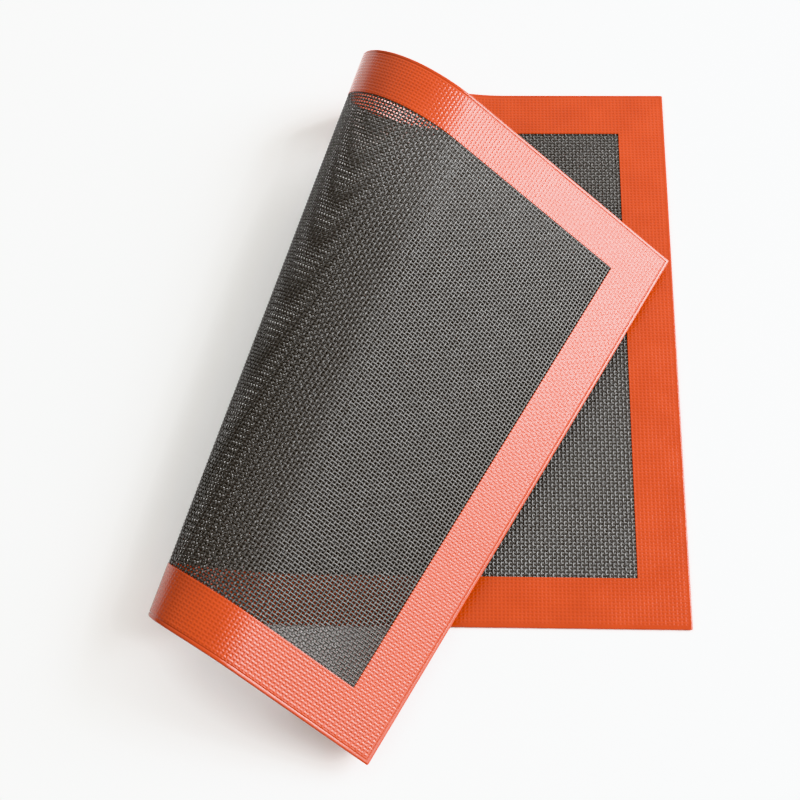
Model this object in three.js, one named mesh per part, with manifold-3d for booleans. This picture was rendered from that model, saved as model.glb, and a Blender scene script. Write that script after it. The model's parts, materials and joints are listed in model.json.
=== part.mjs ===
// A perforated baking mat: an open mesh of coated glass fibre, with a silicone border bonded round it on
// both faces. Its right part lies flat on the table, and its left part is rolled up and over it.
// The sheet is cut along the straight lines on which it bends: a flat base, a row of narrow strips and
// the free flap, each turned from the one before it by the same angle.
// The origin is on the table under the middle of the right border. +X is right, +Y is back, +Z is up.
import * as THREE from "three";
import { mergeVertices } from "three/addons/utils/BufferGeometryUtils.js";
import Module from "manifold-3d";

// Driving dimensions, in millimetres and degrees.

// The flat mat.
const MAT_WIDTH = 400;
const MAT_DEPTH = 300;
const BORDER_WIDTH = 25;
const BORDER_THICKNESS = 1.2;
const MESH_THICKNESS = 0.6;
const RIM_WIDTH = 2.5; // plain silicone between the mesh's cut edge and the mat's edge
const BOND_GAP = 0.1; // between the mesh and the silicone that holds it
const BUTT_GAP = 0.1; // between border pieces that meet at a corner

// The roll, as it lies. A bend line's place is where it crosses the middle of the mat's depth.
const BEND_COUNT = 12;
const BEND_TURN = 17.2;
const BEND_GAP = 0.5; // between neighbouring strips, in the flat mat
const FIRST_BEND = 151.5; // from the mat's right edge
const FIRST_LEAN = 18.7; // from the mat's depth, to the right at the back
const LAST_LEAN = 11.2;
const TIGHT_RADIUS = 19.3; // of the roll where it is tightest
const TIGHT_STRIP = 4; // strips between the first bend and the tightest strip
const EASE_IN = 2; // strips from the tightest towards the base until the radius has doubled
const EASE_OUT = 4.25; // the same towards the flap

// The net that stands for the weave, with gaps far wider than the real ones.
const NET_PITCH = 20.8;
const NET_BAR = 1;
const LEAST_COLUMN = 0.75; // of the pitch: the narrowest column of gaps beside a slanted edge

const rad = THREE.MathUtils.degToRad;
const HALF_DEPTH = MAT_DEPTH / 2;
const RIGHT_EDGE = BORDER_WIDTH / 2;
const LEFT_EDGE = RIGHT_EDGE - MAT_WIDTH;
const MID_HEIGHT = BORDER_THICKNESS / 2;
const WINDOW_HALF_DEPTH = HALF_DEPTH - BORDER_WIDTH;
const CUT_MARGIN = 1; // how far a cutting solid reaches past what it cuts

const silicone = new THREE.MeshStandardMaterial({ color: 0xd9501f, roughness: 0.4, metalness: 0 });
const coatedGlass = new THREE.MeshStandardMaterial({ color: 0x37373a, roughness: 0.55, metalness: 0 });

const wasm = await Module();
wasm.setup();

// A straight edge across the mat, given by its place at mid depth and its lean.
function edge(x, lean = 0) {
  return { x, lean, at: (y) => x + Math.tan(lean) * y };
}

// The same edge, moved square to itself. A positive distance moves it to the right.
function shifted(from, distance) {
  return edge(from.x + distance / Math.cos(from.lean), from.lean);
}

// The bend lines from the base to the flap. A strip's width is the roll's arc over one turn.
function bendLines() {
  const lines = [];
  let x = RIGHT_EDGE - FIRST_BEND;
  for (let i = 0; i < BEND_COUNT; i++) {
    const lean = FIRST_LEAN + ((LAST_LEAN - FIRST_LEAN) * i) / (BEND_COUNT - 1);
    lines.push(edge(x, rad(lean)));
    const ease = i < TIGHT_STRIP ? EASE_IN : EASE_OUT;
    const radius = TIGHT_RADIUS * (1 + ((i - TIGHT_STRIP) / ease) ** 2);
    x -= radius * rad(BEND_TURN);
  }
  return lines;
}

// The four corners between two edges and two depths, counter-clockwise.
function quad(left, right, front, back) {
  return [
    new THREE.Vector2(left.at(front), front),
    new THREE.Vector2(right.at(front), front),
    new THREE.Vector2(right.at(back), back),
    new THREE.Vector2(left.at(back), back),
  ];
}

// A flat solid plate of the given thickness, lying on the sheet's middle surface.
function plate(outline, thickness) {
  const shape = new THREE.Shape(outline);
  const geometry = new THREE.ExtrudeGeometry(shape, { depth: thickness, bevelEnabled: false });
  geometry.translate(0, 0, MID_HEIGHT - thickness / 2);
  geometry.deleteAttribute("normal");
  geometry.deleteAttribute("uv");
  const merged = mergeVertices(geometry);
  return new wasm.Manifold(
    new wasm.Mesh({
      numProp: 3,
      vertProperties: merged.attributes.position.array,
      triVerts: new Uint32Array(merged.index.array),
    }),
  );
}

function geometryOf(solid) {
  const mesh = solid.getMesh();
  const geometry = new THREE.BufferGeometry();
  geometry.setAttribute("position", new THREE.BufferAttribute(mesh.vertProperties, 3));
  geometry.setIndex(new THREE.BufferAttribute(mesh.triVerts, 1));
  return geometry;
}

// A border piece is a bar of silicone with a slot, where the mesh's margin is bonded in.
function borderBar(outline, slot) {
  const bar = plate(outline, BORDER_THICKNESS);
  return geometryOf(bar.subtract(plate(slot, MESH_THICKNESS + 2 * BOND_GAP)));
}

// The border along the back edge, between two edges of a strip. The slot is open at both ends.
function backBorder(left, right) {
  const outline = quad(left, right, WINDOW_HALF_DEPTH, HALF_DEPTH);
  const slot = quad(
    shifted(left, -CUT_MARGIN),
    shifted(right, CUT_MARGIN),
    WINDOW_HALF_DEPTH - CUT_MARGIN,
    HALF_DEPTH - RIM_WIDTH + BOND_GAP,
  );
  return borderBar(outline, slot);
}

// The same along the front edge.
function frontBorder(left, right) {
  const outline = quad(left, right, -HALF_DEPTH, -WINDOW_HALF_DEPTH);
  const slot = quad(
    shifted(left, -CUT_MARGIN),
    shifted(right, CUT_MARGIN),
    -HALF_DEPTH + RIM_WIDTH - BOND_GAP,
    -WINDOW_HALF_DEPTH + CUT_MARGIN,
  );
  return borderBar(outline, slot);
}

// The border along the right or left edge takes the full depth, and its slot is closed at both ends.
function sideBorder(outer, inward) {
  const inner = shifted(outer, inward * BORDER_WIDTH);
  const slotEnd = shifted(outer, inward * (RIM_WIDTH - BOND_GAP));
  const slotMouth = shifted(inner, inward * CUT_MARGIN);
  const slotHalfDepth = HALF_DEPTH - RIM_WIDTH + BOND_GAP;
  const [left, right] = inward < 0 ? [inner, outer] : [outer, inner];
  const [slotLeft, slotRight] = inward < 0 ? [slotMouth, slotEnd] : [slotEnd, slotMouth];
  const outline = quad(left, right, -HALF_DEPTH, HALF_DEPTH);
  return borderBar(outline, quad(slotLeft, slotRight, -slotHalfDepth, slotHalfDepth));
}

// The net's gaps between two edges: rows along the mat's width, cut into columns where there is room.
function netGaps(left, right) {
  const rows = Math.round((2 * WINDOW_HALF_DEPTH) / NET_PITCH);
  const rowDepth = (2 * WINDOW_HALF_DEPTH) / rows;
  const columns = Math.floor((MAT_WIDTH - 2 * BORDER_WIDTH) / NET_PITCH);
  const room = LEAST_COLUMN * NET_PITCH;
  const gaps = [];
  for (let row = 0; row < rows; row++) {
    const front = -WINDOW_HALF_DEPTH + row * rowDepth + NET_BAR / 2;
    const back = front + rowDepth - NET_BAR;
    const leftmost = Math.max(left.at(front), left.at(back)) + room;
    const rightmost = Math.min(right.at(front), right.at(back)) - room;
    let gapRight = shifted(right, -NET_BAR);
    for (let column = 1; column <= columns; column++) {
      const x = RIGHT_EDGE - BORDER_WIDTH - column * NET_PITCH;
      if (x < leftmost || x > rightmost) continue;
      const bar = edge(x);
      gaps.push(quad(shifted(bar, NET_BAR / 2), gapRight, front, back));
      gapRight = shifted(bar, -NET_BAR / 2);
    }
    gaps.push(quad(shifted(left, NET_BAR), gapRight, front, back));
  }
  return gaps;
}

// The mesh of one strip: its outline, which runs under the border, and the edges of its open window.
function net(left, right, windowLeft, windowRight) {
  const meshHalfDepth = HALF_DEPTH - RIM_WIDTH;
  const cutThickness = MESH_THICKNESS + 2 * CUT_MARGIN;
  let solid = plate(quad(left, right, -meshHalfDepth, meshHalfDepth), MESH_THICKNESS);
  for (const gap of netGaps(windowLeft, windowRight)) solid = solid.subtract(plate(gap, cutThickness));
  return geometryOf(solid);
}

function piece(name, geometry, material) {
  const mesh = new THREE.Mesh(geometry, material);
  mesh.name = name;
  return mesh;
}

// The part of the sheet beyond a bend, turned up about the bend line.
function beyondBend(parent, line) {
  const onLine = new THREE.Vector3(line.x, 0, MID_HEIGHT);
  const along = new THREE.Vector3(Math.sin(line.lean), Math.cos(line.lean), 0);
  const turned = new THREE.Group();
  turned.position.copy(onLine);
  turned.quaternion.setFromAxisAngle(along, rad(BEND_TURN));
  const sheet = new THREE.Group();
  sheet.position.copy(onLine).negate();
  turned.add(sheet);
  parent.add(turned);
  return sheet;
}

const mat = new THREE.Group();
const bends = bendLines();
const rightEdge = edge(RIGHT_EDGE);
const leftEdge = edge(LEFT_EDGE);

// The base, flat on the table, from the right edge to the first bend.
const baseLeft = shifted(bends[0], BEND_GAP / 2);
const baseWindowRight = shifted(rightEdge, -BORDER_WIDTH);
const baseBorderRight = shifted(baseWindowRight, -BUTT_GAP);
const baseMesh = net(baseLeft, shifted(rightEdge, -RIM_WIDTH), baseLeft, baseWindowRight);
mat.add(piece("mesh_base", baseMesh, coatedGlass));
mat.add(piece("border_right", sideBorder(rightEdge, -1), silicone));
mat.add(piece("border_back_base", backBorder(baseLeft, baseBorderRight), silicone));
mat.add(piece("border_front_base", frontBorder(baseLeft, baseBorderRight), silicone));

// The strips of the roll, each between two bends.
let sheet = mat;
for (let i = 1; i < BEND_COUNT; i++) {
  sheet = beyondBend(sheet, bends[i - 1]);
  const number = String(i).padStart(2, "0");
  const left = shifted(bends[i], BEND_GAP / 2);
  const right = shifted(bends[i - 1], -BEND_GAP / 2);
  sheet.add(piece(`mesh_${number}`, net(left, right, left, right), coatedGlass));
  sheet.add(piece(`border_back_${number}`, backBorder(left, right), silicone));
  sheet.add(piece(`border_front_${number}`, frontBorder(left, right), silicone));
}

// The flap, from the last bend to the mat's left edge, which is its free edge.
const flap = beyondBend(sheet, bends[BEND_COUNT - 1]);
const flapRight = shifted(bends[BEND_COUNT - 1], -BEND_GAP / 2);
const flapWindowLeft = shifted(leftEdge, BORDER_WIDTH);
const flapBorderLeft = shifted(flapWindowLeft, BUTT_GAP);
const flapMesh = net(shifted(leftEdge, RIM_WIDTH), flapRight, flapWindowLeft, flapRight);
flap.add(piece("mesh_flap", flapMesh, coatedGlass));
flap.add(piece("border_left", sideBorder(leftEdge, 1), silicone));
flap.add(piece("border_back_flap", backBorder(flapBorderLeft, flapRight), silicone));
flap.add(piece("border_front_flap", frontBorder(flapBorderLeft, flapRight), silicone));

export default mat;
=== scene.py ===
import json
import math

import bmesh
import bpy
import numpy as np
from mathutils import Matrix, Vector


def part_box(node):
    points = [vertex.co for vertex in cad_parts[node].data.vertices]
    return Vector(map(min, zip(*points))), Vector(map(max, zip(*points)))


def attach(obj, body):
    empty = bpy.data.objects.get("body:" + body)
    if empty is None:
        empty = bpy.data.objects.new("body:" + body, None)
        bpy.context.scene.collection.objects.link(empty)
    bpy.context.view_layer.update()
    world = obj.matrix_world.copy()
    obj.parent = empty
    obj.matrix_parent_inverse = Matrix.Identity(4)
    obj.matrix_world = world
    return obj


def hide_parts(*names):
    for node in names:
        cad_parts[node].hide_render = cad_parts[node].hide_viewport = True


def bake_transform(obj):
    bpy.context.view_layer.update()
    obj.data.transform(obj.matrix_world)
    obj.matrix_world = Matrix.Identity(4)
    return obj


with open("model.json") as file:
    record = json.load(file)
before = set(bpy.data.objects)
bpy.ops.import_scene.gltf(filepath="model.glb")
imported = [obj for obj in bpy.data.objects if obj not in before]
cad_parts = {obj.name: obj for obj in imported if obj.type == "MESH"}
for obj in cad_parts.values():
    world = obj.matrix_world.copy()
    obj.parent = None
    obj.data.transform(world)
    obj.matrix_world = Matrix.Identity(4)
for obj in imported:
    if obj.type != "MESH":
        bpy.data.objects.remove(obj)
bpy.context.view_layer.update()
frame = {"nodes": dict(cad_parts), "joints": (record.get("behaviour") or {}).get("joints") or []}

# The mesh core: an open plain weave of glass yarns, coated in black silicone so that it stays open.
# It is one flexible sheet, flat on the table at the right and rolled up and over at the left. Every
# yarn is modelled, in stretches that are cut halfway between the lines on which the sheet bends.
right_low, right_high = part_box("border_right")
RIGHT_EDGE = right_high.x
BACK_EDGE = right_high.y
BORDER_WIDTH = right_high.x - right_low.x
HALF_THICKNESS = right_high.z / 2
RIM_WIDTH = 0.0025
WARP_PITCH = 0.00193
WEFT_PITCH = 0.00175
YARN_WIDTH = 0.001
YARN_THICKNESS = 0.00046
YARN_SIDES = 6
CRIMP = 0.00023
UNDER_BORDER = 0.001
SHORTEST_YARN = 0.0002
SHARP_EDGE = math.radians(70)
NORMAL_STEP = 0.0001
BLEND_REACH = 0.9

# Each bend line is taken back to the flat mat, as its place at mid depth and its slope, together
# with the move that lays its body flat.
unrolled = [np.eye(4)]
bends = []
for joint in frame["joints"]:
    on_line = unrolled[-1] @ np.append(joint["pos_m"], 1)
    along = unrolled[-1][:3, :3] @ joint["axis"]
    slope = along[0] / along[1]
    bends.append((on_line[0] - slope * on_line[1], slope))
    pivot = Matrix.Translation(joint["pos_m"])
    turn = Matrix.Rotation(math.radians(joint["range_deg"][1]), 4, joint["axis"])
    unrolled.append(unrolled[-1] @ np.array(pivot @ turn @ pivot.inverted()))
rolled = np.linalg.inv(unrolled)
bends = np.array(bends)
half_gaps = np.diff(bends, axis=0) / 2
cuts = np.vstack([bends[0] - half_gaps[0], bends[:-1] + half_gaps, bends[-1] + half_gaps[-1]])
BASE = 0
FLAP = len(cuts)
BENDS = range(1, FLAP)

left_border = frame["nodes"]["border_left"].data.vertices
LEFT_EDGE = min((unrolled[-1] @ (*vertex.co, 1))[0] for vertex in left_border)
WINDOW_LEFT = LEFT_EDGE + BORDER_WIDTH
WINDOW_RIGHT = RIGHT_EDGE - BORDER_WIDTH
WINDOW_BACK = BACK_EDGE - BORDER_WIDTH


def line_at(line, y):
    """Where a slanted line across the flat mat is, at a given depth."""
    return line[0] + line[1] * y


def on_body(body, x, y):
    """Points of the sheet's middle that move with one body, from their places in the flat mat."""
    flat = np.stack([x, y, np.full_like(x, HALF_THICKNESS)], axis=-1)
    return flat @ rolled[body][:3, :3].T + rolled[body][:3, 3]


def middle(stretch, x, y):
    """Points of the sheet's middle in the roll. A bent stretch is an arc led by its bend line."""
    if stretch == BASE:
        return on_body(0, x, y)
    if stretch == FLAP:
        return on_body(FLAP - 1, x, y)
    near = line_at(cuts[stretch - 1], y)
    guide = line_at(bends[stretch - 1], y)
    far = line_at(cuts[stretch], y)
    # The place in the flat mat is a quadratic in the share of the arc, and is solved for the share.
    squared = near - 2 * guide + far
    linear = 2 * (guide - near)
    constant = near - x
    root = np.sqrt(linear * linear - 4 * squared * constant)
    share = (2 * constant / (root - linear))[..., None]
    arc = (1 - share) ** 2 * on_body(stretch - 1, near, y)
    arc += 2 * share * (1 - share) * on_body(stretch - 1, guide, y)
    return arc + share * share * on_body(stretch, far, y)


def lay(stretch, flat):
    """Points rolled up with the sheet, from places in the flat mat and heights over its middle."""
    x, y, height = np.moveaxis(flat, -1, 0)
    across = middle(stretch, x + NORMAL_STEP, y) - middle(stretch, x - NORMAL_STEP, y)
    deep = middle(stretch, x, y + NORMAL_STEP) - middle(stretch, x, y - NORMAL_STEP)
    normal = np.cross(across, deep)
    normal /= np.linalg.norm(normal, axis=-1, keepdims=True)
    return middle(stretch, x, y) + normal * height[..., None]


def tube_piece(name, stretch, tubes, material):
    """An object of closed tubes. A tube is its rings in order, as points in the flat mat."""
    corners = []
    counts = []
    first = 0
    for tube in tubes:
        rings, sides = tube.shape[:2]
        index = first + np.arange(rings * sides).reshape(rings, sides)
        turned = np.roll(index, -1, axis=1)
        walls = np.stack([index[:-1], turned[:-1], turned[1:], index[1:]], axis=-1).reshape(-1, 4)
        corners += [walls.ravel(), index[0, ::-1], index[-1]]
        counts += [4] * len(walls) + [sides, sides]
        first += rings * sides
    flat = np.concatenate([tube.reshape(-1, 3) for tube in tubes])
    corners = np.concatenate(corners)
    counts = np.array(counts)
    mesh = bpy.data.meshes.new(name)
    mesh.vertices.add(len(flat))
    mesh.loops.add(len(corners))
    mesh.polygons.add(len(counts))
    mesh.vertices.foreach_set("co", lay(stretch, flat).ravel())
    mesh.loops.foreach_set("vertex_index", corners)
    mesh.polygons.foreach_set("loop_start", np.cumsum(counts) - counts)
    mesh.update(calc_edges=True)
    mesh.shade_smooth()
    mesh.set_sharp_from_angle(angle=SHARP_EDGE)
    place = mesh.attributes.new("flat", "FLOAT_VECTOR", "POINT")
    place.data.foreach_set("vector", flat.ravel())
    mesh.materials.append(material)
    made = bpy.data.objects.new(name, mesh)
    bpy.context.scene.collection.objects.link(made)
    return made


def follow(piece, stretch):
    """Lets a piece move with its body. A piece of a bent stretch stays where it lies; the reach and
    direction of its bend are worked out but not used.
    """
    if stretch == BASE:
        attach(piece, "base")
        return
    if stretch == FLAP:
        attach(piece, "flap")
        return
    bend = bends[stretch - 1]
    lean = math.atan(bend[1])
    ends = np.array([-BACK_EDGE, BACK_EDGE])
    to_near = abs(line_at(cuts[stretch - 1] - bend, ends)).min()
    to_far = abs(line_at(cuts[stretch] - bend, ends)).min()
    reach = BLEND_REACH * min(to_near, to_far) * math.cos(lean)
    square = np.array([-math.cos(lean), math.sin(lean), 0])
    onward = (rolled[stretch - 1] + rolled[stretch])[:3, :3] @ square
    onward *= reach / np.linalg.norm(onward)
    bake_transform(piece)


FIRST_WARP = RIGHT_EDGE - RIM_WIDTH - WARP_PITCH / 2
FIRST_WEFT = -BACK_EDGE + RIM_WIDTH + WEFT_PITCH / 2
warps = np.arange(FIRST_WARP, LEFT_EDGE + RIM_WIDTH, -WARP_PITCH)[::-1]
warps = warps[(warps > WINDOW_LEFT) & (warps < WINDOW_RIGHT)]
wefts = np.arange(FIRST_WEFT, BACK_EDGE - RIM_WIDTH, WEFT_PITCH)
wefts = wefts[abs(wefts) < WINDOW_BACK]
round_yarn = np.arange(YARN_SIDES) * 2 * math.pi / YARN_SIDES
wide = np.cos(round_yarn) * YARN_WIDTH / 2
thick = np.sin(round_yarn) * YARN_THICKNESS / 2


def crimp(x, y):
    """How far a weft rises over the middle at a point. The warp there is as far below it."""
    along_weft = np.cos(math.pi * (x - FIRST_WARP) / WARP_PITCH)
    along_warp = np.cos(math.pi * (y - FIRST_WEFT) / WEFT_PITCH)
    return CRIMP * along_weft * along_warp


def steps(low, high, crossings):
    """The places of a yarn's rings: its ends, and each crossing between them."""
    inside = (crossings > low + SHORTEST_YARN) & (crossings < high - SHORTEST_YARN)
    return np.concatenate([[low], crossings[inside], [high]])[:, None]


def weft_tube(y, low, high):
    x = steps(low, high, warps)
    ring = np.broadcast_arrays(x, y + wide, crimp(x, y) + thick)
    return np.stack(ring, axis=-1)


def warp_tube(x, low, high):
    y = steps(low, high, wefts)
    ring = np.broadcast_arrays(x - wide, y, thick - crimp(x, y))
    return np.stack(ring, axis=-1)


def wefts_of(stretch):
    """The wefts of one stretch, which run across the mat and are cut off at the stretch's ends."""
    tubes = []
    for y in wefts:
        low = WINDOW_LEFT - UNDER_BORDER
        high = WINDOW_RIGHT + UNDER_BORDER
        if stretch < FLAP:
            low = line_at(cuts[stretch], y)
        if stretch > BASE:
            high = line_at(cuts[stretch - 1], y)
        if high - low > SHORTEST_YARN:
            tubes.append(weft_tube(y, low, high))
    return tubes


def warps_of(stretch):
    """The warps of one stretch, which run from front to back and are cut where they leave it."""
    tubes = []
    for x in warps:
        low = -WINDOW_BACK - UNDER_BORDER
        high = WINDOW_BACK + UNDER_BORDER
        if stretch > BASE:
            place, slope = cuts[stretch - 1]
            low = max(low, (x - place) / slope)
        if stretch < FLAP:
            place, slope = cuts[stretch]
            high = min(high, (x - place) / slope)
        if high - low > SHORTEST_YARN:
            tubes.append(warp_tube(x, low, high))
    return tubes


def shader_node(tree, kind, inputs, **settings):
    """A new shader node, with its inputs by name or number. A socket among them is linked."""
    made = tree.nodes.new("ShaderNode" + kind)
    for key, value in settings.items():
        setattr(made, key, value)
    for key, value in inputs.items():
        if isinstance(value, bpy.types.NodeSocket):
            tree.links.new(value, made.inputs[key])
        else:
            made.inputs[key].default_value = value
    return made


def maths(tree, operation, *values):
    return shader_node(tree, "Math", dict(enumerate(values)), operation=operation).outputs[0]


def ranged(tree, value, low, high, to_low, to_high):
    values = dict(enumerate([value, low, high, to_low, to_high]))
    return shader_node(tree, "MapRange", values).outputs[0]


# A mix node has sockets for every kind of value, so those for colours go by number.
MIX_SHARE = 0
MIX_LOW = 6
MIX_HIGH = 7
MIX_RESULT = 2


def between(tree, share, low_colour, high_colour):
    colours = {MIX_SHARE: share, MIX_LOW: (*low_colour, 1), MIX_HIGH: (*high_colour, 1)}
    return shader_node(tree, "Mix", colours, data_type="RGBA").outputs[MIX_RESULT]


def noise(tree, place, scale, detail):
    inputs = {"Vector": place, "Scale": scale, "Detail": detail}
    return shader_node(tree, "TexNoise", inputs).outputs["Fac"]


# Cured silicone skin, as on the yarns and on the border: a patchy gloss and a fine grain.
PATCH_DETAIL = 3.0
PATCH_RANGE = (0.3, 0.7)
GRAIN_DETAIL = 2.0
silicone_skin = bpy.data.node_groups.new("silicone_skin", "ShaderNodeTree")
for name, kind in (("Place", "Vector"), ("Patch Scale", "Float"), ("Grain Scale", "Float")):
    silicone_skin.interface.new_socket(name, in_out="INPUT", socket_type="NodeSocket" + kind)
for name in ("Patches", "Grain"):
    silicone_skin.interface.new_socket(name, in_out="OUTPUT", socket_type="NodeSocketFloat")
given = silicone_skin.nodes.new("NodeGroupInput").outputs
result = silicone_skin.nodes.new("NodeGroupOutput").inputs
patches = noise(silicone_skin, given["Place"], given["Patch Scale"], PATCH_DETAIL)
grain = noise(silicone_skin, given["Place"], given["Grain Scale"], GRAIN_DETAIL)
silicone_skin.links.new(patches, result["Patches"])
silicone_skin.links.new(grain, result["Grain"])


def skin_of(tree, place, patch_scale, grain_scale):
    skin = tree.nodes.new("ShaderNodeGroup")
    skin.node_tree = silicone_skin
    tree.links.new(place, skin.inputs["Place"])
    skin.inputs["Patch Scale"].default_value = patch_scale
    skin.inputs["Grain Scale"].default_value = grain_scale
    return skin.outputs


# Satin black, a little paler on the crowns: partly wear where they rub on trays, partly a painted
# highlight, strongest on the warps' crowns as the light comes from the right.
HOLLOW_BLACK = (0.029, 0.0245, 0.0205)
CROWN_GREY = (0.225, 0.219, 0.213)
CROWN_HEIGHTS = (0.00022, 0.00045)
YARN_PATCHES = 90.0
YARN_GRAIN = 1300.0
YARN_GRAIN_RANGE = (0.35, 0.7)
YARN_WEAR = (0.1, 1.0)
WEFT_HIGHLIGHT_SHARE = 0.35
YARN_ROUGHNESS = (0.3, 0.42)
YARN_SPECULAR = 0.4
YARN_BUMP_STRENGTH = 0.5
YARN_BUMP_DEPTH = 0.00003
coated_glass = bpy.data.materials.new("coated_glass")
coated_glass.use_nodes = True
tree = coated_glass.node_tree
shader = tree.nodes["Principled BSDF"].inputs
flat = shader_node(tree, "Attribute", {}, attribute_name="flat").outputs["Vector"]
height = shader_node(tree, "SeparateXYZ", {"Vector": flat}).outputs["Z"]
warp = shader_node(tree, "Attribute", {}, attribute_name="warp").outputs["Fac"]
skin = skin_of(tree, flat, YARN_PATCHES, YARN_GRAIN)
crown = ranged(tree, maths(tree, "ABSOLUTE", height), *CROWN_HEIGHTS, 0.0, 1.0)
uneven = ranged(tree, skin["Grain"], *YARN_GRAIN_RANGE, *YARN_WEAR)
# Painted highlight: the warps' crowns are made paler than the wefts', as if lit from the right.
rubbed_and_lit = maths(tree, "MULTIPLY", uneven, ranged(tree, warp, 0.0, 1.0, WEFT_HIGHLIGHT_SHARE, 1.0))
wear_and_highlight = maths(tree, "MULTIPLY", crown, rubbed_and_lit)
tree.links.new(between(tree, wear_and_highlight, HOLLOW_BLACK, CROWN_GREY), shader["Base Color"])
satin = ranged(tree, skin["Patches"], *PATCH_RANGE, *YARN_ROUGHNESS)
tree.links.new(satin, shader["Roughness"])
bump = {"Strength": YARN_BUMP_STRENGTH, "Distance": YARN_BUMP_DEPTH, "Height": skin["Grain"]}
tree.links.new(shader_node(tree, "Bump", bump).outputs["Normal"], shader["Normal"])
shader["Specular IOR Level"].default_value = YARN_SPECULAR

weave_names = ["weave_base", *(f"weave_bend_{number:02d}" for number in BENDS), "weave_flap"]
mesh_nodes = ["mesh_base", *(f"mesh_{number:02d}" for number in BENDS[:-1]), None, "mesh_flap"]
weave = []
for stretch, name in enumerate(weave_names):
    across = wefts_of(stretch)
    deep = warps_of(stretch)
    piece = tube_piece(name, stretch, across + deep, coated_glass)
    is_warp = [np.zeros(tube.shape[:2]).ravel() for tube in across]
    is_warp += [np.ones(tube.shape[:2]).ravel() for tube in deep]
    mark = piece.data.attributes.new("warp", "FLOAT", "POINT")
    mark.data.foreach_set("value", np.concatenate(is_warp))
    follow(piece, stretch)
    if mesh_nodes[stretch]:
        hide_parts(mesh_nodes[stretch])
    weave.append(piece)

# The border: a band of orange silicone, cast onto both faces of the mesh and bonded through it. The
# weave shows in it as a fine relief, up to a groove close to the edge, and beyond the groove is a
# plain rounded rim. It is made in the same stretches as the mesh.
CORNER_RADIUS = 0.0009
CORNER_STEPS = 4
BEND_STEPS = 12
SAME_POINT = 0.000001

# The section, as distances out from the window and shares of the half thickness.
lip = [(0.0, 0.7), (0.00008, 0.93), (0.0002, 1.0), (0.0005, 1.0), (0.0115, 1.0), (0.0226, 1.0)]
groove = [(0.0228, 1.0), (0.0230, 0.6), (0.0233, 0.5), (0.0235, 0.9), (0.0237, 1.0)]
crease = [(0.0228, 1.0), (0.0231, 0.93), (0.0233, 0.92), (0.0235, 0.97), (0.0237, 1.0)]
edge = [(0.0242, 1.0), (0.0245, 0.94), (0.0247, 0.8), (0.0249, 0.5), (0.0250, 0.0)]
below = np.array(lip + groove + edge) * (1, -HALF_THICKNESS)
above = np.array(lip + crease + edge) * (1, HALF_THICKNESS)
OUT, UP = np.vstack([below, above[-2::-1]]).T


def band_ring(x, y):
    """A ring round the border's section, from the places of its points in the flat mat."""
    return np.stack(np.broadcast_arrays(x, y, UP), axis=-1)


def band_end(line, side):
    """The ring where a band along the front or the back, on that side of the mat, meets a line."""
    y = side * (WINDOW_BACK + OUT)
    return band_ring(line_at(line, y), y)


def corner_rings(x, y, across, deep):
    """The rings round a corner of the window, from its end border to its side border."""
    inner = np.minimum(OUT, BORDER_WIDTH - CORNER_RADIUS)
    outer = OUT - inner
    rings = []
    for angle in np.linspace(math.pi / 2, 0, CORNER_STEPS + 1):
        to_side = inner + outer * math.cos(angle)
        to_end = inner + outer * math.sin(angle)
        rings.append(band_ring(x + across * to_side, y + deep * to_end))
    return rings


def wave(tree, along, first, pitch, half_turns):
    """A cosine over the flat mat, with that many half turns to a yarn's pitch."""
    from_first = maths(tree, "SUBTRACT", along, first)
    phase = maths(tree, "MULTIPLY", from_first, half_turns * math.pi / pitch)
    return maths(tree, "COSINE", phase)


def from_ends(tree, along, low, high):
    """How far a point is from the nearer of two opposite edges of the mat."""
    from_middle = maths(tree, "ABSOLUTE", maths(tree, "SUBTRACT", along, (low + high) / 2))
    return maths(tree, "SUBTRACT", (high - low) / 2, from_middle)


# Glossy orange, patchy in tone, with painted shade that makes it deeper in the hollows of the
# relief. The silicone levels the crowns of the yarns, so that mostly the gaps between the wefts
# show, and the relief is shallower on the upper face.
HOLLOW_ORANGE = (0.257, 0.025, 0.0032)
CROWN_ORANGE = (0.408, 0.0505, 0.008)
TONE_RANGE = (-0.3, 1.3)
RELIEF_PAINTED_SHADE = 0.5
RELIEF_DEPTH = 0.0001
TOP_RELIEF = 0.7
OVER_SHARE = 0.5
WARP_SHARE = 0.6
YARN_MERGE = 0.5
LEVELLED = 0.8
EMBOSSED_FROM = (0.0018, 0.0026)
BAND_PATCHES = 60.0
BAND_GRAIN = 1800.0
GRAIN_DEPTH = 0.00001
EMBOSSED_ROUGHNESS = (0.2, 0.26)
RIM_ROUGHNESS = 0.18
BAND_SPECULAR = 0.6
silicone = bpy.data.materials.new("silicone")
silicone.use_nodes = True
tree = silicone.node_tree
shader = tree.nodes["Principled BSDF"].inputs
flat = shader_node(tree, "Attribute", {}, attribute_name="flat").outputs["Vector"]
place = shader_node(tree, "SeparateXYZ", {"Vector": flat}).outputs
skin = skin_of(tree, flat, BAND_PATCHES, BAND_GRAIN)
warp_over = wave(tree, place["X"], FIRST_WARP, WARP_PITCH, 1)
weft_over = wave(tree, place["Y"], FIRST_WEFT, WEFT_PITCH, 1)
over = maths(tree, "MULTIPLY", maths(tree, "MULTIPLY", warp_over, weft_over), OVER_SHARE)
weft_round = wave(tree, place["Y"], FIRST_WEFT, WEFT_PITCH, 2)
warp_round = wave(tree, place["X"], FIRST_WARP, WARP_PITCH, 2)
weft_top = maths(tree, "ADD", over, weft_round)
warp_top = maths(tree, "SUBTRACT", maths(tree, "MULTIPLY", warp_round, WARP_SHARE), over)
yarn_tops = maths(tree, "SMOOTH_MAX", weft_top, warp_top, YARN_MERGE)
weave_relief = maths(tree, "SMOOTH_MIN", yarn_tops, LEVELLED, YARN_MERGE)
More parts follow.
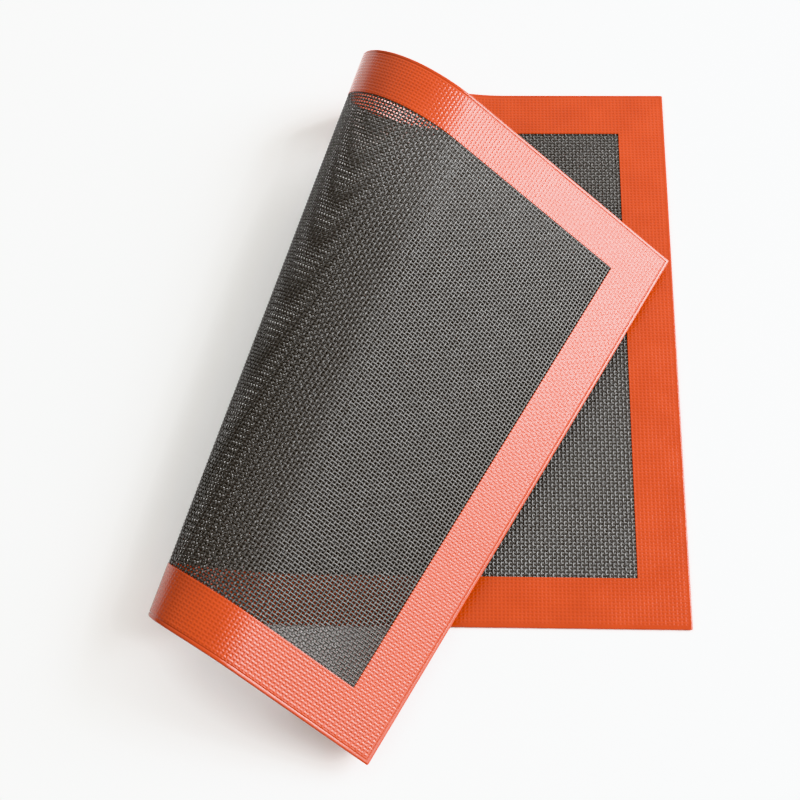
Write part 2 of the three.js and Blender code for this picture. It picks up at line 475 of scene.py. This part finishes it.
from_sides = from_ends(tree, place["X"], LEFT_EDGE, RIGHT_EDGE)
from_front_or_back = from_ends(tree, place["Y"], -BACK_EDGE, BACK_EDGE)
from_edge = maths(tree, "MINIMUM", from_sides, from_front_or_back)
embossed = ranged(tree, from_edge, *EMBOSSED_FROM, 0.0, 1.0)
underside = ranged(tree, place["Z"], -HALF_THICKNESS, HALF_THICKNESS, 1.0, TOP_RELIEF)
pressed = maths(tree, "MULTIPLY", embossed, underside)
relief = maths(tree, "MULTIPLY", weave_relief, pressed)
# Painted shade: the colour darkens in the hollows of the bump relief, on top of the random patches.
shade = maths(tree, "ADD", maths(tree, "MULTIPLY", relief, RELIEF_PAINTED_SHADE), skin["Patches"])
tone = ranged(tree, shade, *TONE_RANGE, 0.0, 1.0)
tree.links.new(between(tree, tone, HOLLOW_ORANGE, CROWN_ORANGE), shader["Base Color"])
embossed_gloss = ranged(tree, skin["Patches"], *PATCH_RANGE, *EMBOSSED_ROUGHNESS)
gloss = ranged(tree, embossed, 0.0, 1.0, RIM_ROUGHNESS, embossed_gloss)
tree.links.new(gloss, shader["Roughness"])
weave_depth = maths(tree, "MULTIPLY", relief, RELIEF_DEPTH)
grain_depth = maths(tree, "MULTIPLY", skin["Grain"], GRAIN_DEPTH)
bump = {"Distance": 1.0, "Height": maths(tree, "ADD", weave_depth, grain_depth)}
tree.links.new(shader_node(tree, "Bump", bump).outputs["Normal"], shader["Normal"])
shader["Specular IOR Level"].default_value = BAND_SPECULAR


def border_piece(name, stretch, rings):
    """A stretch of the border. Points that meet at the inside of a corner become one."""
    piece = tube_piece(name, stretch, [np.stack(rings)], silicone)
    edit = bmesh.new()
    edit.from_mesh(piece.data)
    bmesh.ops.remove_doubles(edit, verts=edit.verts, dist=SAME_POINT)
    edit.to_mesh(piece.data)
    edit.free()
    follow(piece, stretch)
    return piece


borders = [[] for stretch in weave]
rings = [band_end(cuts[0], 1)]
rings += corner_rings(WINDOW_RIGHT, WINDOW_BACK, 1, 1)
rings += corner_rings(WINDOW_RIGHT, -WINDOW_BACK, 1, -1)[::-1]
rings += [band_end(cuts[0], -1)]
piece = border_piece("silicone_base", BASE, rings)
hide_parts("border_right", "border_back_base", "border_front_base")
borders[BASE].append(piece)

shares = np.linspace(1, 0, BEND_STEPS + 1)
for stretch in BENDS:
    lines = [share * cuts[stretch] + (1 - share) * cuts[stretch - 1] for share in shares]
    for side, where in ((1, "back"), (-1, "front")):
        rings = [band_end(line, side) for line in lines[::side]]
        piece = border_piece(f"silicone_{where}_bend_{stretch:02d}", stretch, rings)
        if stretch < FLAP - 1:
            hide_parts(f"border_{where}_{stretch:02d}")
        borders[stretch].append(piece)

rings = [band_end(cuts[-1], -1)]
rings += corner_rings(WINDOW_LEFT, -WINDOW_BACK, -1, -1)
rings += corner_rings(WINDOW_LEFT, WINDOW_BACK, -1, 1)[::-1]
rings += [band_end(cuts[-1], 1)]
piece = border_piece("silicone_flap", FLAP, rings)
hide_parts("border_left", "border_back_flap", "border_front_flap")
borders[FLAP].append(piece)

# A plain white table top under the mat, in soft daylight. Pale warm walls stand all round, darker in
# front, overhead and most of all low down at the left. A large cool window is at the right, and its
# brightest pane is towards the back.
TABLE_HALF = 20.0
TABLE_GAP = 0.0002
TABLE_WHITE = (0.96, 0.96, 0.96)
TABLE_ROUGHNESS = 0.6
table_mesh = bpy.data.meshes.new("table")
table_corners = [(-1, -1), (1, -1), (1, 1), (-1, 1)]
table_points = [(x * TABLE_HALF, y * TABLE_HALF, -TABLE_GAP) for x, y in table_corners]
table_mesh.from_pydata(table_points, [], [(0, 1, 2, 3)])
white = bpy.data.materials.new("white_table")
white.use_nodes = True
shader = white.node_tree.nodes["Principled BSDF"].inputs
shader["Base Color"].default_value = (*TABLE_WHITE, 1)
shader["Roughness"].default_value = TABLE_ROUGHNESS
table_mesh.materials.append(white)
table = bpy.data.objects.new("table", table_mesh)
bpy.context.scene.collection.objects.link(table)

WALL_TINT = (1.0, 0.985, 0.95)
HORIZON = 1.45
OVERHEAD = 0.84
OVERHEAD_FROM = 0.95
LEFT_FOOT = 0.08
LEFT_TOP = 0.72
LEFT_TOP_FROM = 0.65
RIGHT_WALL = 1.28
FRONT_WALL = 0.85
BACK_WALL = 1.25
room = bpy.data.worlds.new("room")
room.use_nodes = True
tree = room.node_tree
towards = shader_node(tree, "TexCoord", {}).outputs["Generated"]
towards = shader_node(tree, "SeparateXYZ", {"Vector": towards}).outputs
upwards = ranged(tree, towards["Z"], 0.0, OVERHEAD_FROM, HORIZON, OVERHEAD)
left_wall = ranged(tree, towards["Z"], 0.0, LEFT_TOP_FROM, LEFT_FOOT, LEFT_TOP)
sideways = ranged(tree, towards["X"], -1.0, 1.0, left_wall, RIGHT_WALL)
backwards = ranged(tree, towards["Y"], -1.0, 1.0, FRONT_WALL, BACK_WALL)
walls = maths(tree, "MULTIPLY", sideways, backwards)
background = tree.nodes["Background"].inputs
background["Color"].default_value = (*WALL_TINT, 1)
tree.links.new(maths(tree, "MULTIPLY", upwards, walls), background["Strength"])
bpy.context.scene.world = room

WINDOW_TINT = (0.97, 1.0, 1.03)
ROLL_PLACE = Vector((-0.08, 0, 0))
LIGHT_DISTANCE = 1.5


def soft_light(name, towards, size, power):
    """A square light that faces the roll, in the given direction from it."""
    light = bpy.data.lights.new(name, "AREA")
    light.shape = "SQUARE"
    light.size = size
    light.energy = power
    light.color = WINDOW_TINT
    lamp = bpy.data.objects.new(name, light)
    direction = Vector(towards).normalized()
    lamp.location = ROLL_PLACE + direction * LIGHT_DISTANCE
    lamp.rotation_euler = direction.to_track_quat("Z", "Y").to_euler()
    bpy.context.scene.collection.objects.link(lamp)


soft_light("window", towards=(0.73, -0.12, 0.672), size=1.1, power=13)
soft_light("pane", towards=(0.775, 0.22, 0.592), size=0.75, power=35)

# The camera looks down steeply from the front. It has a short telephoto lens and the slight roll of
# the photograph.
CAMERA_PLACE = (-0.1035, -0.3276, 0.6917)
YAW = math.radians(-4.772)
PITCH = math.radians(66.852)
ROLL = math.radians(-3.928)
SENSOR_WIDTH = 36
FOCAL_LENGTH = 66.95
lens = bpy.data.cameras.new("camera")
lens.sensor_width = SENSOR_WIDTH
lens.lens = FOCAL_LENGTH
heading = Vector((math.sin(YAW), math.cos(YAW), 0))
forward = heading * math.cos(PITCH) - Vector((0, 0, math.sin(PITCH)))
level = Vector((math.cos(YAW), -math.sin(YAW), 0))
upright = level.cross(forward)
right = math.cos(ROLL) * level + math.sin(ROLL) * upright
up = math.cos(ROLL) * upright - math.sin(ROLL) * level
turned = Matrix((right, up, -forward)).transposed().to_4x4()
camera = bpy.data.objects.new("camera", lens)
camera.matrix_world = Matrix.Translation(CAMERA_PLACE) @ turned
bpy.context.scene.collection.objects.link(camera)
bpy.context.scene.camera = camera
bpy.context.scene.view_settings.view_transform = "Khronos PBR Neutral"
